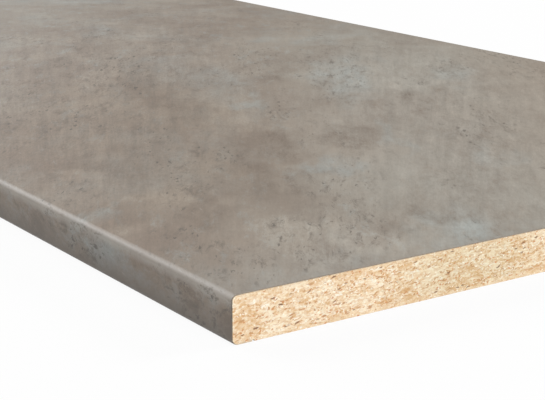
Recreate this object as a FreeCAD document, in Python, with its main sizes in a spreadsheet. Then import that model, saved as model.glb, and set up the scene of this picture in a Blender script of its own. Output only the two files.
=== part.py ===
import FreeCAD, Part
import math
import os
import Sketcher

# Laminate worktop, in millimetres.
# X runs along the board, the rounded front edge faces -Y and +Z is up.
# The origin is the middle of the underside.
SIZES = [
    ("board_length", 1860.0, "cut end to cut end"),
    ("board_depth", 635.0, "front face to back edge"),
    ("board_thickness", 28.0, "underside to worktop face"),
    ("laminate_thickness", 0.5, "the decorative sheet"),
    ("upper_radius", 3.5, "outside radius where the sheet rolls over the front edge"),
    ("lower_radius", 4.0, "outside radius where it turns back under the board"),
    ("return_width", 13.0, "front face to the end of the sheet under the board"),
    ("groove_width", 1.4, "open groove behind the end of the sheet"),
    ("groove_depth", 0.9, "underside to the bottom of that groove"),
]

# How the sketcher numbers the ends of a line, the sketch's own origin and its level axis
START, END = 1, 2
ORIGIN = (-1, 1)
LEVEL_AXIS = -1


def write_sizes(doc):
    """Put every driving size in the sheet under its name."""
    sheet = doc.addObject("Spreadsheet::Sheet", "Sizes")
    for row, (name, value, meaning) in enumerate(SIZES, start=1):
        sheet.set("A%d" % row, name)
        sheet.set("B%d" % row, str(value))
        sheet.set("C%d" % row, meaning)
        sheet.setAlias("B%d" % row, name)
    doc.recompute()


def add_body(doc, name):
    body = doc.addObject("PartDesign::Body", name)
    body.Label = name
    return body


def add_section(body):
    """An empty cross section on the body's own upright plane across the board."""
    plane = [f for f in body.Origin.OriginFeatures if f.Role == "YZ_Plane"][0]
    section = body.newObject("Sketcher::SketchObject", body.Name + "_section")
    section.AttachmentSupport = [(plane, "")]
    section.MapMode = "FlatFace"
    return section


def draw_outline(section, corners, bends):
    """Draw a closed outline: straight from corner to corner, but round where bends gives a centre.

    bends maps the number of the corner where a bend starts to its centre and its two angles
    in degrees. A bend drawn clockwise has its angles the larger one first.
    Lines are held level or upright, and bends are held tangent to the lines they meet.
    """
    upright = FreeCAD.Vector(0, 0, 1)
    count = len(corners)
    backwards = {i for i, (centre, first, last) in bends.items() if first > last}
    for i, corner in enumerate(corners):
        here = FreeCAD.Vector(corner[0], corner[1], 0)
        following = corners[(i + 1) % count]
        if i in bends:
            centre, first, last = bends[i]
            middle = FreeCAD.Vector(centre[0], centre[1], 0)
            circle = Part.Circle(middle, upright, (here - middle).Length)
            low, high = math.radians(min(first, last)), math.radians(max(first, last))
            section.addGeometry(Part.ArcOfCircle(circle, low, high), False)
        else:
            there = FreeCAD.Vector(following[0], following[1], 0)
            section.addGeometry(Part.LineSegment(here, there), False)
    for i in range(count):
        j = (i + 1) % count
        leaving = START if i in backwards else END
        arriving = END if j in backwards else START
        joint = "Tangent" if i in bends or j in bends else "Coincident"
        section.addConstraint(Sketcher.Constraint(joint, i, leaving, j, arriving))
        if i not in bends:
            level = abs(corners[i][1] - corners[j][1]) < abs(corners[i][0] - corners[j][0])
            section.addConstraint(Sketcher.Constraint("Horizontal" if level else "Vertical", i))


def hold(section, name, kind, first, second, formula):
    """Hold the distance between two points of the outline at what the formula gives."""
    a, b = section.getPoint(*first), section.getPoint(*second)
    now = b.x - a.x if kind == "DistanceX" else b.y - a.y
    number = section.addConstraint(Sketcher.Constraint(kind, *first, *second, now))
    section.renameConstraint(number, name)
    section.setExpression("Constraints." + name, formula)


def hold_radius(section, name, bend, formula):
    number = section.addConstraint(Sketcher.Constraint("Radius", bend, section.Geometry[bend].Radius))
    section.renameConstraint(number, name)
    section.setExpression("Constraints." + name, formula)


def run_along_board(body, section):
    """Carry the cross section the whole length of the board, half of it each way."""
    run = body.newObject("PartDesign::Pad", body.Name + "_run")
    run.Profile = section
    run.SideType = "Symmetric"
    run.setExpression("Length", "Sizes.board_length")
    body.Tip = run
    section.Visibility = False


def build_core(doc, size):
    """The chipboard: square at the back, rounded at the front, rebated and grooved underneath."""
    half = size["board_depth"] / 2
    top = size["board_thickness"] - size["laminate_thickness"]
    skin = size["laminate_thickness"]
    over, under = size["upper_radius"], size["lower_radius"]
    high = size["board_thickness"] - over
    rebate_end = -half + size["return_width"]
    groove_end = rebate_end + size["groove_width"]
    groove_top = size["groove_depth"]
    corners = [
        (groove_end, 0), (half, 0), (half, top), (-half + over, top), (-half + skin, high),
        (-half + skin, under), (-half + under, skin), (rebate_end, skin),
        (rebate_end, groove_top), (groove_end, groove_top),
    ]
    bends = {3: ((-half + over, high), 90, 180), 5: ((-half + under, under), 180, 270)}
    body = add_body(doc, "chipboard_core")
    section = add_section(body)
    draw_outline(section, corners, bends)
    section.addConstraint(Sketcher.Constraint("PointOnObject", 0, START, LEVEL_AXIS))
    hold(section, "back_edge", "DistanceX", ORIGIN, (0, END), "Sizes.board_depth / 2")
    hold(section, "core_top", "DistanceY", ORIGIN, (1, END),
         "Sizes.board_thickness - Sizes.laminate_thickness")
    hold(section, "core_front", "DistanceX", (4, START), ORIGIN,
         "Sizes.board_depth / 2 - Sizes.laminate_thickness")
    hold_radius(section, "upper_bend", 3, "Sizes.upper_radius - Sizes.laminate_thickness")
    hold_radius(section, "lower_bend", 5, "Sizes.lower_radius - Sizes.laminate_thickness")
    hold(section, "rebate_depth", "DistanceY", ORIGIN, (6, END), "Sizes.laminate_thickness")
    hold(section, "rebate_end", "DistanceX", (6, END), ORIGIN,
         "Sizes.board_depth / 2 - Sizes.return_width")
    hold(section, "groove_depth", "DistanceY", ORIGIN, (7, END), "Sizes.groove_depth")
    hold(section, "groove_width", "DistanceX", (8, START), (8, END), "Sizes.groove_width")
    run_along_board(body, section)
    return body


def build_laminate(doc, size):
    """The decorative sheet: over the top, down the front and a little way back underneath."""
    half = size["board_depth"] / 2
    top = size["board_thickness"]
    skin = size["laminate_thickness"]
    over, under = size["upper_radius"], size["lower_radius"]
    high = top - over
    sheet_end = -half + size["return_width"]
    corners = [
        (half, top), (-half + over, top), (-half, high), (-half, under), (-half + under, 0),
        (sheet_end, 0), (sheet_end, skin), (-half + under, skin), (-half + skin, under),
        (-half + skin, high), (-half + over, top - skin), (half, top - skin),
    ]
    upper, lower = (-half + over, high), (-half + under, under)
    bends = {1: (upper, 90, 180), 3: (lower, 180, 270), 7: (lower, 270, 180), 9: (upper, 180, 90)}
    body = add_body(doc, "laminate")
    section = add_section(body)
    draw_outline(section, corners, bends)
    section.addConstraint(Sketcher.Constraint("PointOnObject", 4, END, LEVEL_AXIS))
    hold(section, "face_height", "DistanceY", ORIGIN, (0, START), "Sizes.board_thickness")
    hold(section, "back_edge", "DistanceX", ORIGIN, (0, START), "Sizes.board_depth / 2")
    hold(section, "front_face", "DistanceX", (2, START), ORIGIN, "Sizes.board_depth / 2")
    hold_radius(section, "outside_upper_bend", 1, "Sizes.upper_radius")
    hold_radius(section, "outside_lower_bend", 3, "Sizes.lower_radius")
    hold_radius(section, "inside_lower_bend", 7, "Sizes.lower_radius - Sizes.laminate_thickness")
    hold_radius(section, "inside_upper_bend", 9, "Sizes.upper_radius - Sizes.laminate_thickness")
    hold(section, "sheet_end", "DistanceX", (4, END), ORIGIN,
         "Sizes.board_depth / 2 - Sizes.return_width")
    hold(section, "return_thickness", "DistanceY", (5, START), (5, END), "Sizes.laminate_thickness")
    hold(section, "front_thickness", "DistanceX", (2, START), (8, START), "Sizes.laminate_thickness")
    hold(section, "top_thickness", "DistanceY", (11, START), (11, END), "Sizes.laminate_thickness")
    run_along_board(body, section)
    return body


def check_body(doc, body):
    """Stop with a plain message if anything about the piece is wrong."""
    for item in doc.Objects:
        bad = [state for state in item.State if state in ("Invalid", "Error")]
        if bad:
            raise RuntimeError("%s did not recompute: %s" % (item.Name, bad))
    for item in body.Group:
        if item.isDerivedFrom("Sketcher::SketchObject") and not item.FullyConstrained:
            raise RuntimeError("%s is not held on every side" % item.Name)
    shape = body.Shape
    if shape.isNull() or not shape.isValid() or len(shape.Solids) != 1:
        raise RuntimeError("%s is not one valid solid" % body.Label)
    print(body.Label, "volume", round(shape.Volume / 1e6, 4), "litres, box", shape.BoundBox)


def main():
    doc = FreeCAD.newDocument("laminate_worktop")
    write_sizes(doc)
    size = {name: value for name, value, meaning in SIZES}
    bodies = [build_core(doc, size), build_laminate(doc, size)]
    doc.recompute()
    os.makedirs("parts", exist_ok=True)
    for body in bodies:
        check_body(doc, body)
        body.Shape.exportStep("parts/%s.step" % body.Label)


main()
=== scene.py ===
import math

import bpy
import numpy as np
from mathutils import Matrix, Vector


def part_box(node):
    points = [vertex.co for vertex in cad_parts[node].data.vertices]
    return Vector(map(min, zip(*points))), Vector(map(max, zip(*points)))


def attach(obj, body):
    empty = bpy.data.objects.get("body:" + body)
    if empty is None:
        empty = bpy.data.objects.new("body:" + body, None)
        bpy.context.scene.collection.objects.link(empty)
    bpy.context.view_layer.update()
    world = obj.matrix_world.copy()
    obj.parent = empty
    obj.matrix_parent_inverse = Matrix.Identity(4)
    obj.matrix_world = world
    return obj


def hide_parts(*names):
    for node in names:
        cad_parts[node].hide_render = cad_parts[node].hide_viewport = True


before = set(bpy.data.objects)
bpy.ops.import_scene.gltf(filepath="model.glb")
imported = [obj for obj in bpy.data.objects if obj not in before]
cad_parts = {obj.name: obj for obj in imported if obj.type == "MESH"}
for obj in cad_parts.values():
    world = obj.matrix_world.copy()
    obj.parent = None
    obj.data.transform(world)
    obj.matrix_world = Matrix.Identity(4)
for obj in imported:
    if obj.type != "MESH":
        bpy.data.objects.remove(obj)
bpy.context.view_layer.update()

# Sizes of the board in metres, read from the CAD boxes where they can be
SHEET_LOW, SHEET_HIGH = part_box("laminate")
LEFT, RIGHT = SHEET_LOW.x, SHEET_HIGH.x
FRONT, BACK = SHEET_LOW.y, SHEET_HIGH.y
TOP = SHEET_HIGH.z
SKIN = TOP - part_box("chipboard_core")[1].z
# Outside radii of the sheet where it rolls over the front edge and turns back under the board
OVER, UNDER = 0.0035, 0.004
# From the front face to the end of the sheet under the board, and the groove behind that end
RETURN = 0.013
GROOVE_WIDE = 0.0014
GROOVE_DEEP = 0.0009
# Where the sheet starts to bend over the front edge
BEND = FRONT + OVER

# The cut ends: how far the chips stand back from one another, how deep the torn pits go,
# and how high the fluff stands, in metres
CHIP_STEP = 0.00006
TEAR_DEPTH = 0.0006
FLUFF = 0.00006

# The photograph's width in pixels, and its camera: place, direction in degrees and focal length
PHOTO_WIDTH = 545
CAMERA_PLACE = (1.54242, -0.7081, 0.27563)
CAMERA_AZIMUTH = 55.783
CAMERA_ELEVATION = 15.142
FOCAL_PX = 1480


# Numbers that look random but are the same on every run

def scatter(i, j, seed):
    """A number from 0 to 1 for each pair of whole numbers: the broken part of a large sine."""
    wave = np.sin(i * 127.1 + j * 311.7 + seed * 74.7) * 43758.5453
    return wave - np.floor(wave)


def soft_noise(a, b, seed):
    """Smooth noise from 0 to 1: four corner numbers of a unit cell, eased by 3t^2 - 2t^3 between them."""
    i, j = np.floor(a), np.floor(b)
    s, t = a - i, b - j
    s, t = s * s * (3 - 2 * s), t * t * (3 - 2 * t)
    low = scatter(i, j, seed) * (1 - s) + scatter(i + 1, j, seed) * s
    high = scatter(i, j + 1, seed) * (1 - s) + scatter(i + 1, j + 1, seed) * s
    return low * (1 - t) + high * t


def chips(a, b, seed):
    """Cells round jittered seeds, one seed to a unit square.

    Gives each point the number of its nearest seed and how far that seed is.
    """
    i, j = np.floor(a), np.floor(b)
    nearest = np.full(a.shape, 9.0)
    number = np.zeros(a.shape)
    for di in (-1, 0, 1):
        for dj in (-1, 0, 1):
            x = i + di + scatter(i + di, j + dj, seed)
            y = j + dj + scatter(i + di, j + dj, seed + 1)
            away = np.hypot(a - x, b - y)
            closer = away < nearest
            nearest = np.where(closer, away, nearest)
            number = np.where(closer, scatter(i + di, j + dj, seed + 2), number)
    return number, nearest


# Mesh building

def build_mesh(name, points, quads, materials, kinds, uv):
    """A piece from its points and four-cornered faces, smooth but for edges over 40 degrees."""
    mesh = bpy.data.meshes.new(name)
    mesh.from_pydata(points.tolist(), [], quads.tolist())
    for material in materials:
        mesh.materials.append(material)
    mesh.polygons.foreach_set("material_index", kinds.astype(np.int32))
    mesh.polygons.foreach_set("use_smooth", np.ones(len(quads), bool))
    layer = mesh.uv_layers.new(name="OFBake")
    layer.data.foreach_set("uv", uv.astype(np.float32).ravel())
    mesh.update()
    mesh.set_sharp_from_angle(angle=math.radians(40))
    piece = bpy.data.objects.new(name, mesh)
    bpy.context.scene.collection.objects.link(piece)
    return piece


def lay_on_map(uv, faces, across, up, left, low, right, high):
    """Spread the chosen faces evenly over one box of the bake map, given in its 1024ths."""
    a, b = across[faces], up[faces]
    uv[faces, :, 0] = (left + (right - left) * (a - a.min()) / (a.max() - a.min())) / 1024
    uv[faces, :, 1] = (low + (high - low) * (b - b.min()) / (b.max() - b.min())) / 1024


def strip_quads(first, second):
    """Quads between two rows of point numbers of the same length."""
    return np.stack([first[:-1], first[1:], second[1:], second[:-1]], axis=1)


def arc(centre_y, centre_z, radius, start, end, steps):
    """Points on a circle, from one angle to another in degrees."""
    angle = np.radians(np.linspace(start, end, steps))
    return np.stack([centre_y + radius * np.cos(angle), centre_z + radius * np.sin(angle)], axis=1)


def line(from_point, to_point, steps):
    """Points on a straight line, without its last one."""
    t = np.linspace(0, 1, steps, endpoint=False)[:, None]
    return np.array(from_point) * (1 - t) + np.array(to_point) * t


# Material building

class Recipe:
    """A material being mixed from nodes; each method adds one node and gives back its output."""

    def __init__(self, name):
        self.material = bpy.data.materials.new(name)
        self.material.use_nodes = True
        self.tree = self.material.node_tree
        self.surface = self.tree.nodes["Principled BSDF"]

    def add(self, kind, inputs=(), **settings):
        node = self.tree.nodes.new(kind)
        for key, value in settings.items():
            setattr(node, key, value)
        for key, value in dict(inputs).items():
            self.feed(node.inputs[key], value)
        return node

    def feed(self, socket, value):
        if isinstance(value, bpy.types.NodeSocket):
            self.tree.links.new(value, socket)
        else:
            socket.default_value = value

    def place(self):
        return self.add("ShaderNodeTexCoord").outputs["Object"]

    def attribute(self, name):
        return self.add("ShaderNodeAttribute", attribute_name=name).outputs["Vector"]

    def mapping(self, vector, move=(0, 0, 0), turn=(0, 0, 0), stretch=(1, 1, 1)):
        """Stretch, then turn, then move the coordinates."""
        return self.add("ShaderNodeMapping", {
            "Vector": vector, "Location": move, "Rotation": turn, "Scale": stretch}).outputs[0]

    def noise(self, vector, scale, detail, rough=0.5, twist=0.0):
        node = self.add("ShaderNodeTexNoise", {
            "Vector": vector, "Scale": scale, "Detail": detail, "Roughness": rough,
            "Distortion": twist})
        return node.outputs["Fac"]

    def noise_vector(self, vector, scale, detail):
        node = self.add("ShaderNodeTexNoise", {"Vector": vector, "Scale": scale, "Detail": detail})
        return node.outputs["Color"]

    def cells(self, vector, scale):
        return self.add("ShaderNodeTexVoronoi", {"Vector": vector, "Scale": scale})

    def sum(self, operation, a, b, clamp=False):
        return self.add("ShaderNodeMath", {0: a, 1: b}, operation=operation,
                        use_clamp=clamp).outputs[0]

    def weigh(self, start, *parts):
        """The start, plus each part's distance from one half times its weight."""
        total = start
        for value, weight in parts:
            spread = self.add("ShaderNodeMath", {0: value, 1: weight, 2: -0.5 * weight},
                              operation="MULTIPLY_ADD").outputs[0]
            total = self.sum("ADD", spread, total)
        return total

    def vector_sum(self, operation, a, b):
        return self.add("ShaderNodeVectorMath", {0: a, 1: b}, operation=operation).outputs[0]

    def part(self, vector, axis):
        return self.add("ShaderNodeSeparateXYZ", {0: vector}).outputs[axis]

    def joined(self, x, y):
        return self.add("ShaderNodeCombineXYZ", {0: x, 1: y}).outputs[0]

    def range(self, value, low, high, to_low=0.0, to_high=1.0):
        """Spread the values between low and high over a new span, and hold them at its ends."""
        return self.add("ShaderNodeMapRange", {
            "Value": value, "From Min": low, "From Max": high,
            "To Min": to_low, "To Max": to_high}).outputs[0]

    def blend(self, amount, a, b, kind="MIX"):
        node = self.add("ShaderNodeMix", data_type="RGBA", blend_type=kind)
        self.feed(node.inputs[0], amount)
        self.feed(node.inputs[6], a)
        self.feed(node.inputs[7], b)
        return node.outputs[2]

    def tint(self, amount, colour, red, green, blue):
        """The colour times three factors, as far as the amount goes."""
        return self.blend(amount, colour, (red, green, blue, 1.0), kind="MULTIPLY")

    def lay(self, vector, centre=(0, 0, 0), turn=0.0, size=(1, 1, 1), about="Z"):
        """Coordinates counted from a centre, along axes turned about X or Z, in units of size."""
        angles = (turn, 0, 0) if about == "X" else (0, 0, turn)
        return self.add("ShaderNodeMapping", {
            "Vector": vector, "Location": centre, "Rotation": angles, "Scale": size},
            vector_type="TEXTURE").outputs[0]

    def cloud(self, vector, centre, half, turn=0.0):
        """A soft oval spot: 1 at its centre, falling evenly to 0 at its half widths."""
        local = self.lay(vector, (*centre, 0), math.radians(turn), (*half, 1))
        return self.add("ShaderNodeTexGradient", {"Vector": local}, gradient_type="SPHERICAL").outputs[1]

    def clouds(self, vector, *spots):
        """Several soft spots together, the strongest showing at each place."""
        total = None
        for across, along, half_across, half_along, turn in spots:
            spot = self.cloud(vector, (across, along), (half_across, half_along), turn)
            total = spot if total is None else self.sum("MAXIMUM", total, spot)
        return total

    def ramp(self, value, *stops):
        """A colour for each value, from (position, colour) stops."""
        node = self.add("ShaderNodeValToRGB", {"Fac": value})
        points = node.color_ramp.elements
        while len(points) < len(stops):
            points.new(0.5)
        for point, (position, colour) in zip(points, stops):
            point.position, point.color = position, colour
        return node.outputs[0]

    def bump(self, height, strength, distance):
        return self.add("ShaderNodeBump", {
            "Height": height, "Strength": strength, "Distance": distance}).outputs[0]

    def finish(self, **sockets):
        for name, value in sockets.items():
            self.feed(self.surface.inputs[name.replace("_", " ")], value)
        return self.material


def paint(red, green, blue):
    """A colour given as on a colour card, 0 to 255, turned into light values."""
    def light(c):
        c = c / 255
        return c / 12.92 if c <= 0.04045 else ((c + 0.055) / 1.055) ** 2.4
    return (light(red), light(green), light(blue), 1.0)


# The trowel strokes of the print run across the board at this turn from its length.
# The thin ones fan out from a point, and keep their spacing at one row.
TROWEL_TURN = math.radians(-55.8)
FAN_POINT = (0.281, -1.674)
FAN_ROW = -0.6

# Soft places of the print near the front right corner: metres across and along the strokes,
# half widths both ways, and turn in degrees
UMBER_PLACES = (
    (0.196, -0.457, 0.048, 0.085, 25), (0.263, -0.665, 0.024, 0.120, 5), (0.163, -0.382, 0.034, 0.080, 0),
    (0.280, -0.318, 0.024, 0.050, -12), (0.236, -0.733, 0.016, 0.060, 0), (0.300, -0.710, 0.018, 0.036, 0),
    (0.341, -0.558, 0.036, 0.026, 0), (0.401, -0.419, 0.018, 0.040, 0), (0.240, -0.794, 0.018, 0.030, 0),
    (0.286, -0.602, 0.026, 0.070, 0), (0.168, -0.665, 0.045, 0.060, 0), (0.374, -0.797, 0.020, 0.026, 0))
COOL_PLACES = (
    (0.351, -0.338, 0.042, 0.180, 0), (0.373, -0.572, 0.014, 0.130, 0), (0.398, -0.830, 0.045, 0.100, 0),
    (0.322, -0.665, 0.034, 0.050, 0), (0.452, -0.313, 0.036, 0.130, 0), (0.110, -0.860, 0.030, 0.060, 0),
    (0.440, -0.640, 0.030, 0.060, 0), (0.262, -0.455, 0.016, 0.040, 0), (0.160, -0.790, 0.025, 0.030, 0))
PALE_PLACES = (
    (0.247, -0.478, 0.032, 0.100, 0), (0.209, -0.749, 0.026, 0.028, 0), (0.118, -0.318, 0.024, 0.060, 0),
    (0.160, -0.693, 0.016, 0.045, 0), (0.298, -0.831, 0.036, 0.045, 0), (0.351, -0.338, 0.018, 0.100, 0),
    (0.268, -0.536, 0.022, 0.050, 0), (0.192, -0.844, 0.020, 0.025, 0), (0.330, -0.848, 0.032, 0.040, 0))
PALER_PLACES = (
    (0.385, -0.350, 0.055, 0.130, 0), (0.340, -0.500, 0.035, 0.080, 0), (0.355, -0.825, 0.022, 0.045, 0),
    (0.392, -0.820, 0.018, 0.045, 0), (0.210, -0.850, 0.020, 0.035, 0), (0.230, -0.547, 0.030, 0.060, 0),
    (0.135, -0.363, 0.030, 0.070, 0), (0.256, -0.868, 0.020, 0.050, 0))
DULLER_PLACES = (
    (0.292, -0.835, 0.020, 0.075, 0), (0.275, -0.700, 0.018, 0.055, 0), (0.316, -0.688, 0.018, 0.045, 0),
    (0.362, -0.688, 0.018, 0.045, 0), (0.395, -0.585, 0.018, 0.075, 0), (0.186, -0.746, 0.020, 0.035, 0))
PITTED_PLACES = (
    (0.120, -0.240, 0.040, 0.080, 0), (0.238, -0.862, 0.026, 0.060, 0), (0.262, -0.240, 0.030, 0.070, 0),
    (0.340, -0.300, 0.040, 0.160, 0), (0.455, -0.260, 0.030, 0.080, 0), (0.300, -0.840, 0.026, 0.034, 0),
    (0.335, -0.815, 0.030, 0.026, 0), (0.140, -0.330, 0.040, 0.050, 0), (0.225, -0.650, 0.030, 0.060, 0),
    (0.252, -0.892, 0.045, 0.060, 0))


def concrete_decor():
    """Printed concrete: umber, pale and cool clouds, trowel strokes, dark pits and fine scratches."""
    r = Recipe("concrete_laminate")
    on_sheet = r.attribute("on_sheet")
    turned = r.mapping(on_sheet, turn=(0, 0, TROWEL_TURN))
    # The strokes are long near the right end and shorter in two steps towards the left end
    aside, along_strokes = r.part(turned, 0), r.part(turned, 1)
    shortened = along_strokes
    for start in (-0.15, 0.1):
        beyond = r.sum("MAXIMUM", r.sum("SUBTRACT", along_strokes, start), 0.0)
        shortened = r.sum("ADD", shortened, r.sum("MULTIPLY", beyond, 0.7))
    laid = r.joined(aside, shortened)
    flow = r.mapping(laid, stretch=(1, 0.3, 1))
    wide_flow = r.mapping(laid, stretch=(1, 0.5, 1))
    # The front has no strokes, so there the marks have no direction
    across_sheet = r.part(on_sheet, 1)
    on_front = r.range(across_sheet, BEND - 0.002, BEND - 0.005)
    marks = r.blend(r.range(across_sheet, BEND - 0.0025, BEND - 0.0026),
                    flow, r.mapping(on_sheet, stretch=(0.65, 1, 1)))
    sway = r.vector_sum("SUBTRACT", r.noise_vector(wide_flow, 30.0, 5.0), (0.5, 0.5, 0.5))
    swayed = r.vector_sum("ADD", turned, r.vector_sum("MULTIPLY", sway, (0.08, 0.2, 0)))
    ground, umber = paint(144, 132, 119), paint(110, 96, 83)
    pale, cool = paint(168, 157, 143), paint(152, 158, 156)

    drifts = r.noise(wide_flow, 11.0, 3.0, 0.6, 0.3)
    colour = r.ramp(drifts, (0.32, paint(134, 120, 107)), (0.5, ground), (0.68, paint(154, 143, 130)))
    cool_drift = r.noise(r.mapping(wide_flow, move=(3.1, 7.7, 0)), 8.0, 4.0, 0.6, 0.4)
    # Mottling, from hand-sized blotches down to grains, breaks the clouds up
    mottle = r.noise(marks, 60.0, 6.0, 0.97, 0.1)
    broken = r.range(mottle, 0.37, 0.63, 0.0, 1.7)
    cool_mottle = r.noise(r.mapping(marks, move=(5.3, 2.9, 0)), 50.0, 6.0, 0.9, 0.2)
    cool_broken = r.range(cool_mottle, 0.33, 0.67, 0.0, 1.7)

    def patches(broken_by, strength, *spots):
        """Soft places made fuller in the middle, then broken up, then weakened to a strength."""
        full = r.range(r.clouds(swayed, *spots), 0.0, 0.8)
        return r.sum("MULTIPLY", r.sum("MULTIPLY", full, broken_by), strength, clamp=True)

    cool_amount = r.sum("MULTIPLY", r.range(cool_drift, 0.5, 0.72, 0, 0.5), cool_broken)
    cool_amount = r.sum("MAXIMUM", cool_amount, patches(cool_broken, 0.7, *COOL_PLACES))
    cool_amount = r.sum("MAXIMUM", cool_amount, r.range(cool_mottle, 0.53, 0.66, 0, 0.5))
    cool_amount = r.sum("MAXIMUM", cool_amount, patches(cool_broken, 0.35, (0.42, -0.5, 0.14, 0.5, 0)))
    colour = r.blend(cool_amount, colour, cool)
    colour = r.blend(patches(cool_broken, 0.5, *PALE_PLACES, (0.47, -0.5, 0.26, 0.7, 0)), colour, pale)
    colour = r.blend(patches(broken, 0.46, *UMBER_PLACES), colour, umber)
    # Away from the middle the whole print turns warmer and darker, or paler and cooler
    warm_places = ((0.16, -0.62, 0.15, 0.42, 0), (-0.55, 0.3, 0.3, 0.5, 20))
    colour = r.tint(r.range(r.clouds(swayed, *warm_places), 0.0, 0.5), colour, 0.907, 0.868, 0.826)
    light_places = ((0.40, -0.84, 0.16, 0.26, 0), (0.38, -0.19, 0.15, 0.28, 0), (-0.1, 0.2, 0.3, 0.5, -10))
    colour = r.tint(r.range(r.clouds(swayed, *light_places), 0.0, 0.5), colour, 1.066, 1.114, 1.14)
    corner = r.clouds(swayed, (0.32, -0.86, 0.075, 0.1, 0))
    colour = r.tint(r.range(corner, 0.0, 0.6), colour, 1.1, 1.1, 1.1)
    colour = r.tint(r.range(r.clouds(swayed, *PALER_PLACES), 0.0, 0.8), colour, 1.06, 1.06, 1.06)
    colour = r.tint(r.range(r.clouds(swayed, *DULLER_PLACES), 0.0, 0.8), colour, 0.95, 0.95, 0.95)
    # All the fine marks are stronger in one wide place and fainter away from it
    strong = r.range(r.clouds(turned, (0.10, -0.42, 0.20, 0.75, 0)), 0.0, 0.8, 0.72, 1.75)
    # Small soft brown marks
    brown = r.range(r.noise(r.mapping(flow, move=(2.3, 5.1, 0)), 85.0, 4.0, 0.8), 0.52, 0.66, 0.0, 0.65)
    brown = r.sum("MULTIPLY", brown, r.sum("SUBTRACT", strong, 0.6), clamp=True)
    colour = r.blend(brown, colour, umber)
    # On the front the clouds are smaller and closer together
    spotted = r.noise(r.mapping(on_sheet, move=(0.31, 0.2, 0), stretch=(0.65, 1, 1)), 48.0, 5.0, 0.75)
    colour = r.blend(r.sum("MULTIPLY", r.range(spotted, 0.51, 0.61, 0, 0.7), on_front), colour, umber)
    colour = r.blend(r.sum("MULTIPLY", r.range(spotted, 0.49, 0.39, 0, 0.35), on_front), colour, cool)
    cool_front = r.range(r.clouds(on_sheet, (0.792, -0.328, 0.03, 0.015, 0)), 0.0, 0.8, 0.0, 0.6)
    colour = r.blend(r.sum("MULTIPLY", cool_front, on_front), colour, cool)
    near_end = r.sum("MULTIPLY", r.range(r.part(on_sheet, 0), 0.83, 0.93), on_front)
    colour = r.tint(near_end, colour, 1.0, 0.955, 0.91)

    # Grains, and a weave of thin strokes both ways
    grain = r.noise(marks, 620.0, 1.0, 0.8)
    # The thin strokes fan out: their spacing grows in step with the distance from the fan's point
    from_point = r.sum("SUBTRACT", along_strokes, FAN_POINT[1])
    fan = r.sum("DIVIDE", FAN_ROW - FAN_POINT[1], from_point)
    fanned = r.joined(r.sum("MULTIPLY", r.sum("SUBTRACT", aside, FAN_POINT[0]), fan), along_strokes)
    along = r.noise(r.mapping(fanned, stretch=(1, 0.05, 1)), 120.0, 5.0, 0.85)
    across = r.noise(r.mapping(turned, stretch=(0.1, 0.33, 1)), 120.0, 5.0, 0.85)
    streaked = r.range(r.clouds(swayed, (0.4, -0.42, 0.09, 0.35, 0)), 0.0, 0.6, 0.62, 1.0)
    weave = r.weigh(0.0, (across, 0.2))
    weave = r.sum("ADD", weave, r.sum("MULTIPLY", r.sum("SUBTRACT", along, 0.5), streaked))
    weave = r.sum("MULTIPLY", weave, r.range(on_front, 0.0, 1.0, 1.0, 0.3))
    tone = r.sum("MULTIPLY", r.sum("ADD", r.weigh(0.0, (mottle, 0.52), (grain, 0.28)), weave), strong)
    tone = r.sum("ADD", tone, 1.0)
    colour = r.blend(1.0, colour, tone, kind="MULTIPLY")

    # Painted highlight: the print is painted paler along the bend, to widen the highlight there; painted
    # shade: it is painted darker low on the front
    from_bend = r.sum("ABSOLUTE", r.sum("SUBTRACT", across_sheet, BEND - 0.005), 0.0)
    colour = r.blend(r.range(from_bend, 0.0052, 0.001, 0.0, 0.55), colour, paint(184, 177, 168))
    # Painted shade, darker towards the bottom of the front
    colour = r.blend(r.range(across_sheet, BEND - 0.012, BEND - 0.028, 0.0, 0.8), colour, paint(104, 96, 88))

    # Smudges, pits and hairlines, where the concrete looks open
    open_noise = r.range(r.noise(flow, 17.0, 3.0, 0.6), 0.5, 0.66)
    pitted = r.range(r.clouds(swayed, *PITTED_PLACES), 0.0, 0.5)
    open_places = r.sum("MAXIMUM", open_noise, pitted)
    pitted_front = r.clouds(on_sheet, (0.765, -0.33, 0.035, 0.02, 0), (0.9, -0.331, 0.05, 0.02, 0))
    open_places = r.sum("MAXIMUM", open_places, r.sum("MULTIPLY", r.range(pitted_front, 0.0, 0.5), on_front))
    smudge = r.range(r.noise(r.mapping(marks, move=(1.7, 0.4, 0)), 130.0, 5.0, 0.8, 0.4), 0.52, 0.72)
    smudge = r.sum("MULTIPLY", smudge, r.weigh(0.55, (open_places, 0.8)))
    smudge = r.sum("MULTIPLY", smudge, r.range(on_front, 0.0, 1.0, 1.0, 1.8), clamp=True)
    colour = r.blend(smudge, colour, paint(100, 91, 81))
    pit = None
    ragged = r.vector_sum("SUBTRACT", r.noise_vector(marks, 520.0, 2.0), (0.5, 0.5, 0.5))
    ragged = r.vector_sum("ADD", marks, r.vector_sum("MULTIPLY", ragged, (0.004, 0.004, 0)))
    for size, share, radius in ((150.0, 0.8, 0.3), (230.0, 0.72, 0.34), (400.0, 0.66, 0.4)):
        spots = r.cells(r.mapping(ragged, move=(size, 0.3, 0)), size)
        chance = r.part(spots.outputs["Color"], 0)
        reach = r.range(chance, share, 1.0, 0.0, radius)
        dot = r.range(r.sum("SUBTRACT", reach, spots.outputs["Distance"]), 0.0, 0.12)
        pit = dot if pit is None else r.sum("MAXIMUM", pit, dot)
    pit = r.sum("MULTIPLY", pit, r.sum("MULTIPLY", r.weigh(0.56, (open_places, 1.0)), strong), clamp=True)
    colour = r.blend(r.sum("MULTIPLY", pit, 0.8), colour, paint(80, 72, 64))
    bow = r.noise(r.mapping(flow, move=(0.6, 2.1, 0)), 40.0, 2.0, 0.5, 0.6)
    hairline = r.range(r.sum("ABSOLUTE", r.sum("SUBTRACT", bow, 0.5), 0.0), 0.0, 0.006, 1.0, 0.0)
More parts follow.
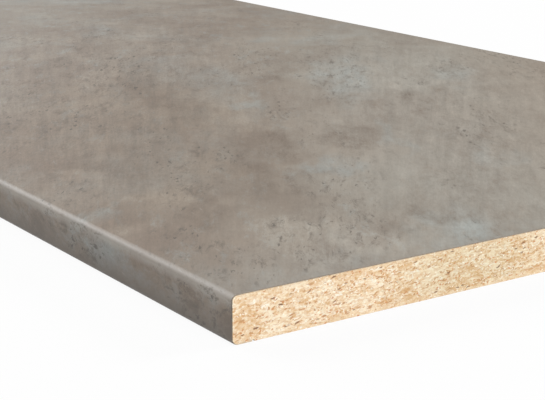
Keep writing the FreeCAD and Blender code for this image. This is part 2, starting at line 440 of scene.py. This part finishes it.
    hairline = r.sum("MULTIPLY", hairline, r.range(smudge, 0.02, 0.25))
    colour = r.blend(r.sum("MULTIPLY", hairline, 0.7), colour, paint(92, 84, 76))
    # Pale nicks
    nick = r.noise(r.lay(turned, turn=math.radians(20), size=(1, 8, 1)), 300.0, 2.0)
    colour = r.blend(r.range(nick, 0.7, 0.78, 0, 0.25), colour, paint(190, 186, 180))

    rough = r.range(mottle, 0.3, 0.7, 0.5, 0.57)
    height = r.sum("SUBTRACT", r.sum("MULTIPLY", mottle, 0.3), pit)
    return r.finish(Base_Color=colour, Roughness=rough,
                    Normal=r.bump(height, 0.25, 0.0001))


def sawn_laminate():
    """The sawn edge of the sheet: grey-brown resin paper, with fine saw marks."""
    r = Recipe("laminate_cut_edge")
    place = r.place()
    fleck = r.noise(place, 900.0, 3.0, 0.6)
    colour = r.ramp(fleck, (0.3, paint(124, 114, 103)), (0.7, paint(152, 141, 128)))
    # Down the front the edge is darker, and under the board it is pale with dust from the saw
    down = r.range(r.part(place, 2), TOP - SKIN, TOP - SKIN - 0.002, 0.0, 0.8)
    colour = r.blend(down, colour, paint(80, 72, 64))
    under = r.sum("MULTIPLY", r.range(r.part(place, 1), FRONT + 0.0009, FRONT + 0.0033),
                  r.range(r.part(place, 2), 0.003, 0.001))
    colour = r.blend(r.sum("MULTIPLY", under, 0.85), colour, paint(226, 206, 178))
    return r.finish(Base_Color=colour, Roughness=r.range(fleck, 0.2, 0.8, 0.6, 0.75),
                    Normal=r.bump(fleck, 0.3, 0.0001))


def sawn_chipboard():
    """Raw chipboard: layers of flat pressed softwood chips lying at slight tilts, finer near both
    faces, with orange and brown ones, white flecks and a few slivers of bark."""
    r = Recipe("raw_chipboard")
    place = r.place()
    sway = r.vector_sum("SUBTRACT", r.noise_vector(place, 230.0, 3.0), (0.5, 0.5, 0.5))
    bent = r.vector_sum("ADD", place, r.vector_sum("MULTIPLY", sway, (0.003, 0.003, 0.003)))
    wood = (
        (0.0, paint(182, 124, 72)), (0.07, paint(206, 155, 104)), (0.2, paint(228, 193, 148)),
        (0.48, paint(243, 221, 187)), (0.8, paint(252, 240, 216)), (1.0, paint(255, 252, 240)))
    dust = r.cells(r.lay(bent, size=(1, 1, 0.7)), 1500.0)
    dust_colour = r.ramp(r.part(dust.outputs["Color"], 1), *wood)
    colour = dust_colour
    layers = (
        (430.0, 0.36, 3, 0.0, 0.85), (330.0, 0.3, 16, 0.5, 0.9), (390.0, 0.3, -15, 0.5, 0.9),
        (640.0, 0.55, 0, 0.58, 0.85), (190.0, 0.22, -6, 0.66, 0.85), (250.0, 0.18, 9, 0.72, 0.9),
        (700.0, 0.7, 20, 0.7, 0.85))
    for k, (scale, thin, tilt, share, cover) in enumerate(layers):
        flat = r.lay(bent, (0.013 * k, 0.031 * k, 0.017 * k), math.radians(tilt), (1, 1, thin), about="X")
        chip = r.cells(flat, scale)
        shown = r.range(r.part(chip.outputs["Color"], 1), share, share + 0.01, 0.0, cover)
        shade = r.part(chip.outputs["Color"], 0)
        colour = r.blend(shown, colour, r.ramp(shade, *wood))
    # Fibres inside the chips, and darker drifts where more brown chips fell
    fibre = r.noise(r.lay(bent, turn=math.radians(6), size=(1, 1, 0.2), about="X"), 800.0, 3.0, 0.6)
    colour = r.blend(r.range(fibre, 0.42, 0.7, 0, 0.35), colour, paint(212, 168, 122))
    drift = r.noise(r.lay(place, size=(1, 1, 0.6)), 80.0, 4.0, 0.8)
    colour = r.blend(r.range(drift, 0.49, 0.68, 0, 0.7), colour, paint(218, 174, 122))
    colour = r.blend(r.range(drift, 0.51, 0.34, 0, 0.45), colour, paint(253, 241, 216))
    browner = r.clouds(place, (RIGHT, -0.15, 0.3, 0.075, 0), (LEFT, -0.1, 0.3, 0.09, 0),
                       (RIGHT, 0.18, 0.3, 0.1, 0))
    colour = r.tint(r.range(browner, 0.0, 0.7), colour, 0.88, 0.885, 0.84)
    # Near the faces the particles are finer
    depth = r.sum("ABSOLUTE", r.sum("SUBTRACT", r.part(place, 2), TOP / 2), 0.0)
    fine_layer = r.range(depth, 0.0105, 0.0132, 0.0, 0.6)
    colour = r.blend(fine_layer, colour, r.blend(0.5, dust_colour, paint(226, 198, 158)))
    # Single chips on top: brown ones, white ones, and slivers of bark, narrow and broad
    for scale, thin, tilt, share, reach, cover, shade_of in (
            (480.0, 0.6, 10, 0.87, 0.45, 0.75, (206, 136, 76)),
            (600.0, 0.6, -8, 0.9, 0.42, 0.75, (255, 250, 238)),
            (270.0, 0.3, 12, 0.975, 0.5, 0.8, (112, 54, 8)),
            (300.0, 0.3, -4, 0.995, 0.5, 0.85, (92, 46, 10))):
        flat = r.lay(bent, (0.2, scale / 1000, 0.1), math.radians(tilt), (1, 1, thin), about="X")
        fleck = r.cells(flat, scale)
        chosen = r.range(r.part(fleck.outputs["Color"], 2), share, share + 0.004)
        inside = r.range(fleck.outputs["Distance"], reach, reach * 0.7)
        seen = r.sum("MULTIPLY", r.sum("MULTIPLY", chosen, inside), cover)
        colour = r.blend(seen, colour, paint(*shade_of))
    # A dark line behind the sheet, measured outwards from the middle of the upper bend:
    # strong down the front, faint along the top, none at the lower bend
    across, up = r.part(place, 1), r.part(place, 2)
    forward = r.sum("MAXIMUM", r.sum("SUBTRACT", BEND, across), 0.0)
    above = r.sum("MAXIMUM", r.sum("SUBTRACT", up, TOP - OVER), 0.0)
    outwards = r.add("ShaderNodeVectorMath", {0: r.joined(forward, above)}, operation="LENGTH")
    dark_line = r.range(outwards.outputs["Value"], OVER - SKIN - 0.0005, OVER - SKIN - 0.0003)
    dark_line = r.sum("MULTIPLY", dark_line, r.range(up, 0.0025, 0.0035))
    dark_line = r.sum("MULTIPLY", dark_line, r.range(across, BEND, BEND + 0.003, 0.85, 0.3))
    colour = r.blend(dark_line, colour, paint(128, 114, 98))
    height = r.sum("ADD", r.sum("MULTIPLY", shade, 0.5), r.sum("MULTIPLY", fibre, 0.5))
    return r.finish(Base_Color=colour, Roughness=r.range(shade, 0.0, 1.0, 0.75, 0.9),
                    Normal=r.bump(height, 0.2, 0.0004))


def backing_paper():
    """The plain paper foil on the underside: greyish buff, matt, with faint fibres."""
    r = Recipe("backing_paper")
    place = r.place()
    fibres = r.noise(r.mapping(place, stretch=(0.15, 1, 1)), 500.0, 4.0, 0.6)
    blotch = r.noise(place, 6.0, 4.0, 0.6)
    colour = r.ramp(blotch, (0.3, paint(196, 188, 174)), (0.7, paint(209, 202, 189)))
    colour = r.blend(r.range(fibres, 0.4, 0.75, 0, 0.35), colour, paint(176, 166, 150))
    return r.finish(Base_Color=colour, Roughness=r.range(blotch, 0.3, 0.7, 0.62, 0.72),
                    Normal=r.bump(fibres, 0.2, 0.0002))


# The laminate

def sheet_outline():
    """The outer line of the bent sheet from the back edge to its end under the board.

    Gives the outer points, the inner ones a sheet's thickness inside them, and the distance
    along the outer line.
    """
    flat = line((BACK, TOP), (BEND, TOP), 900)
    over = arc(BEND, TOP - OVER, OVER, 90, 180, 20)
    face = line((FRONT, TOP - OVER), (FRONT, UNDER), 24)[1:]
    under = arc(FRONT + UNDER, UNDER, UNDER, 180, 270, 16)
    back_under = line((FRONT + UNDER, 0), (FRONT + RETURN, 0), 12)[1:]
    last = np.array([[FRONT + RETURN, 0.0]])
    outer = np.concatenate([flat, over, face, under, back_under, last])
    along = np.concatenate([[0], np.cumsum(np.hypot(*np.diff(outer, axis=0).T))])
    way = np.gradient(outer, along, axis=0)
    way /= np.hypot(way[:, 0], way[:, 1])[:, None]
    inner = outer + SKIN * np.stack([-way[:, 1], way[:, 0]], axis=1)
    return outer, inner, along


def laminate_sheet(decor, cut_edge):
    """The sheet: its outline carried along X, closed by a narrow sawn strip round every edge."""
    outer, inner, along = sheet_outline()
    count = len(outer)
    stations = np.array([LEFT, LEFT + 0.002, 0.0, RIGHT - 0.002, RIGHT])
    ring = np.concatenate([outer, inner[::-1]])
    distance = np.concatenate([along, along[::-1]])
    size = len(ring)
    x = np.repeat(stations, size)
    y = np.tile(ring[:, 0], len(stations))
    z = np.tile(ring[:, 1], len(stations))
    s = np.tile(distance, len(stations))
    # Small chips broken out of the sawn edges: sharp peaks of a noise along the outline
    chipped = np.clip(soft_noise(s * 700, x * 3 + 5, 3) - 0.72, 0, 1) * 0.0009
    inward = np.where(x > 0, -chipped, chipped)
    x = np.where(np.abs(np.abs(x) - RIGHT) < 1e-6, x + inward, x)
    points = np.stack([x, y, z], axis=1)
    numbers = np.arange(len(stations) * size).reshape(len(stations), size)
    # Sides: 0 outside, 1 end under the board, 2 glued side, 3 back edge, 4 left end, 5 right end
    faces, sides = [], []
    wrapped = np.concatenate([numbers, numbers[:, :1]], axis=1)
    for first, second in zip(wrapped[:-1], wrapped[1:]):
        faces.append(strip_quads(first, second))
        side = np.repeat([0, 2], count)
        side[count - 1], side[-1] = 1, 3
        sides.append(side)
    for ring_numbers, turn, side in ((numbers[0], -1, 4), (numbers[-1], 1, 5)):
        over_edge, under_edge = ring_numbers[:count], ring_numbers[::-1][:count]
        faces.append(strip_quads(over_edge, under_edge)[:, ::turn])
        sides.append(np.full(count - 1, side))
    quads, side = np.concatenate(faces), np.concatenate(sides)
    corner_x, corner_s = points[quads][:, :, 0], s[quads]
    depth = np.tile(np.repeat([0.0, 1.0], count), len(stations))[quads]
    uv = np.zeros((len(quads), 4, 2))
    left_half = corner_x.mean(axis=1) < 0
    for chosen, across, up, low, high in (
            ((side == 0) & left_half, corner_x, corner_s, 4, 476),
            ((side == 0) & ~left_half, corner_x, corner_s, 484, 956),
            (side == 2, corner_x, corner_s, 962, 984),
            (side == 4, corner_s, depth, 989, 993), (side == 5, corner_s, depth, 998, 1002),
            (side == 3, corner_x, depth, 1007, 1011), (side == 1, corner_x, depth, 1016, 1020)):
        lay_on_map(uv, chosen, across, up, 4, low, 1020, high)
    kinds = np.where(side == 0, 0, 1)
    piece = build_mesh("laminate_sheet", points, quads, [decor, cut_edge], kinds, uv)
    on_sheet = piece.data.attributes.new("on_sheet", "FLOAT_VECTOR", "POINT")
    flat_place = np.stack([points[:, 0], BACK - s, np.zeros(len(s))], axis=1)
    on_sheet.data.foreach_set("vector", flat_place.astype(np.float32).ravel())
    return piece


# The chipboard

def core_columns():
    """Where the upright columns of the cut end stand, and their lowest and highest points.

    Across the bend they follow its angle, and each wall of the groove has a column on either side.
    """
    wall, far_wall = FRONT + RETURN, FRONT + RETURN + GROOVE_WIDE
    step = 0.0007
    bend = BEND + (OVER - SKIN) * np.cos(np.radians(np.linspace(180, 90, 12)))
    rest = np.arange(bend[-1] + step, BACK, step)
    rest = rest[(np.abs(rest - wall) > 0.0004) & (np.abs(rest - far_wall) > 0.0004)]
    y = np.sort(np.concatenate([bend, rest, [wall, wall + 5e-5, far_wall - 5e-5, far_wall, BACK]]))

    def rise(bend_radius):
        """How high a quarter circle inside the sheet stands over its centre at each column."""
        r = bend_radius - SKIN
        return np.sqrt(np.clip(r * r - np.clip(FRONT + bend_radius - y, 0, r) ** 2, 0, None))
    high = TOP - OVER + rise(OVER)
    low = UNDER - rise(UNDER)
    low = np.where(y > wall + 2e-5, GROOVE_DEEP, low)
    low = np.where(y > far_wall - 2e-5, 0.0, low)
    return y, low, high


def saw_relief(y, z, seed):
    """How far the sawn surface lies below the cut: chips at their own depths, torn pits and fluff."""
    lean = (soft_noise(y * 220, z * 260, seed) - 0.5) * 1.6
    level = chips(y * 330, z * 980 + lean, seed)[0] * CHIP_STEP
    torn_number, torn_near = chips(y * 210 + 9, z * 700 + lean, seed + 5)
    torn = np.where(torn_number > 0.93, np.clip(0.45 - torn_near, 0, 1) / 0.45, 0) * TEAR_DEPTH
    fluff = soft_noise(y * 1300, z * 1300, seed + 9) * FLUFF
    return level + torn + fluff


def chipboard_board(sawn, paper):
    """The board: two sawn ends as relief grids, joined round their outlines by straight sides."""
    y, low, high = core_columns()
    rows = 40
    share = np.linspace(0, 1, rows)
    grid_y = np.repeat(y[:, None], rows, axis=1)
    grid_z = low[:, None] + (high - low)[:, None] * share
    columns = len(y)
    block = columns * rows
    number = np.arange(block).reshape(columns, rows)
    ends = []
    for x, seed in ((LEFT, 11), (RIGHT, 31)):
        depth = saw_relief(grid_y, grid_z, seed)
        ends.append(np.stack([x - math.copysign(1, x) * depth, grid_y, grid_z], axis=2).reshape(-1, 3))
    cells = np.stack([number[:-1, :-1], number[1:, :-1], number[1:, 1:], number[:-1, 1:]], axis=2)
    cells = cells.reshape(-1, 4)
    # Round the outline: under, up the back, over and down the front
    outline = np.concatenate([number[:, 0], number[-1, 1:], number[-2::-1, -1], number[0, -2:0:-1]])
    around = len(outline)
    stations = np.array([LEFT + 0.003, LEFT / 3, RIGHT / 3, RIGHT - 0.003])
    flat = ends[0][outline][:, 1:]
    middle = [np.concatenate([np.full((around, 1), x), flat], axis=1) for x in stations]
    points = np.concatenate(ends + middle)
    rings = [2 * block + k * around + np.arange(around) for k in range(len(stations))]
    loops = [outline] + rings + [block + outline]
    # Sides: 0 left end, 1 right end, 2 underside, 3 back edge, 4 top, 5 front
    faces = [cells[:, ::-1], cells + block]
    sides = [np.zeros(len(cells), int), np.ones(len(cells), int)]
    way = flat[np.append(np.arange(around), 0)]
    way = np.concatenate([[0], np.cumsum(np.hypot(*np.diff(way, axis=0).T))])
    way = np.stack([way[:-1], way[1:], way[1:], way[:-1]], axis=1)
    ups = [grid_z.ravel()[faces[0]], grid_z.ravel()[cells]]
    side = np.repeat([2, 3, 4, 5], [columns - 1, rows - 1, columns - 1, rows - 1])
    for first, second in zip(loops[:-1], loops[1:]):
        first, second = np.append(first, first[0]), np.append(second, second[0])
        faces.append(strip_quads(first, second))
        sides.append(side)
        ups.append(way)
    quads, side, up = np.concatenate(faces), np.concatenate(sides), np.concatenate(ups)
    corner_x, corner_y = points[quads][:, :, 0], points[quads][:, :, 1]
    middle_y, middle_x = corner_y.mean(axis=1), corner_x.mean(axis=1)
    front_half = middle_y < y[columns // 2]
    uv = np.zeros((len(quads), 4, 2))
    for chosen, across, low, high in (
            ((side == 0) & front_half, corner_y, 4, 92), ((side == 0) & ~front_half, corner_y, 97, 185),
            ((side == 1) & front_half, corner_y, 190, 278), ((side == 1) & ~front_half, corner_y, 283, 371),
            (side == 2, corner_x, 376, 716), ((side == 3) & (middle_x < LEFT / 3), corner_x, 721, 766),
            ((side == 3) & (np.abs(middle_x) < RIGHT / 3), corner_x, 771, 816),
            ((side == 3) & (middle_x > RIGHT / 3), corner_x, 821, 866),
            (side == 4, corner_x, 871, 980), (side == 5, corner_x, 985, 1020)):
        lay_on_map(uv, chosen, across, up, 4, low, 1020, high)
    kinds = np.where(side == 2, 1, 0)
    return build_mesh("chipboard_board", points, quads, [sawn, paper], kinds, uv)


# Floor, light and camera

def studio():
    """A pale floor just under the board, white air round it, and four soft round lamps."""
    floor_mesh = bpy.data.meshes.new("floor")
    far = 30.0
    corners = [(-far, -far, 0), (far, -far, 0), (far, far, 0), (-far, far, 0)]
    floor_mesh.from_pydata(corners, [], [(0, 1, 2, 3)])
    floor = bpy.data.objects.new("floor", floor_mesh)
    floor.location.z = -0.0002
    bpy.context.scene.collection.objects.link(floor)
    r = Recipe("pale_floor")
    r.surface.inputs["Base Color"].default_value = (0.8, 0.8, 0.8, 1)
    r.surface.inputs["Roughness"].default_value = 0.9
    path = r.add("ShaderNodeLightPath")
    seen = r.sum("MAXIMUM", path.outputs["Is Camera Ray"], path.outputs["Is Glossy Ray"])
    seen = r.sum("MAXIMUM", seen, path.outputs["Is Transmission Ray"])
    white = r.add("ShaderNodeEmission", {"Color": (1, 1, 1, 1), "Strength": 1.0})
    # Far from the board, where it throws no shadow, the floor is plain white to the horizon
    away = r.add("ShaderNodeVectorMath", {0: r.place()}, operation="LENGTH").outputs["Value"]
    share = r.sum("MULTIPLY", seen, r.range(away, 1.4, 3.0, 0.94, 1.0))
    mix = r.add("ShaderNodeMixShader", {0: share, 1: r.surface.outputs[0], 2: white.outputs[0]})
    r.tree.links.new(mix.outputs[0], r.tree.nodes["Material Output"].inputs["Surface"])
    floor_mesh.materials.append(r.material)

    world = bpy.data.worlds.new("studio_air")
    bpy.context.scene.world = world
    world.use_nodes = True
    tree = world.node_tree
    path = tree.nodes.new("ShaderNodeLightPath")
    strength = tree.nodes.new("ShaderNodeMapRange")
    strength.inputs["To Min"].default_value = 0.1
    strength.inputs["To Max"].default_value = 1.0
    tree.links.new(path.outputs["Is Camera Ray"], strength.inputs["Value"])
    tree.nodes["Background"].inputs["Color"].default_value = (1, 1, 1, 1)
    tree.links.new(strength.outputs[0], tree.nodes["Background"].inputs["Strength"])

    def soft_lamp(name, spot, aim, size, power):
        lamp = bpy.data.lights.new(name, "AREA")
        lamp.shape, lamp.size, lamp.energy = "DISK", size, power
        holder = bpy.data.objects.new(name, lamp)
        holder.location = spot
        holder.rotation_euler = (Vector(aim) - Vector(spot)).to_track_quat("-Z", "Y").to_euler()
        bpy.context.scene.collection.objects.link(holder)

    soft_lamp("side_lamp", (-10.1, -4.28, 6.0), (0.5, -0.3, 0), 8.5, 1280)
    soft_lamp("sheen_lamp", (-9.7, 1.62, 7.5), (0.5, -0.3, 0), 6.9, 430)
    soft_lamp("end_lamp", (4.2, -0.3, 1.5), (0.6, 0, 0), 1.6, 80)
    soft_lamp("back_lamp", (1.6, 3.8, 2.0), (0.5, 0, 0), 1.2, 130)


def look_from(spot, azimuth, elevation, focal_px):
    """A camera at the spot, whose back points at the azimuth and elevation in degrees."""
    a, e = math.radians(azimuth), math.radians(elevation)
    back = Vector((math.sin(a) * math.cos(e), -math.cos(a) * math.cos(e), math.sin(e)))
    across = Vector((math.cos(a), math.sin(a), 0))
    turn = Matrix((across, back.cross(across), back)).transposed()
    lens = bpy.data.cameras.new("photo_camera")
    lens.sensor_width = 36.0
    lens.sensor_fit = "HORIZONTAL"
    lens.lens = focal_px / PHOTO_WIDTH * lens.sensor_width
    lens.clip_start = 0.01
    camera = bpy.data.objects.new("photo_camera", lens)
    camera.matrix_world = Matrix.Translation(spot) @ turn.to_4x4()
    bpy.context.scene.collection.objects.link(camera)
    bpy.context.scene.camera = camera


def main():
    board = chipboard_board(sawn_chipboard(), backing_paper())
    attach(board, "root")
    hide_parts("chipboard_core")
    sheet = laminate_sheet(concrete_decor(), sawn_laminate())
    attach(sheet, "root")
    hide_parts("laminate")
    studio()
    look_from(CAMERA_PLACE, CAMERA_AZIMUTH, CAMERA_ELEVATION, FOCAL_PX)
    bpy.context.scene.view_settings.view_transform = "Standard"


main()
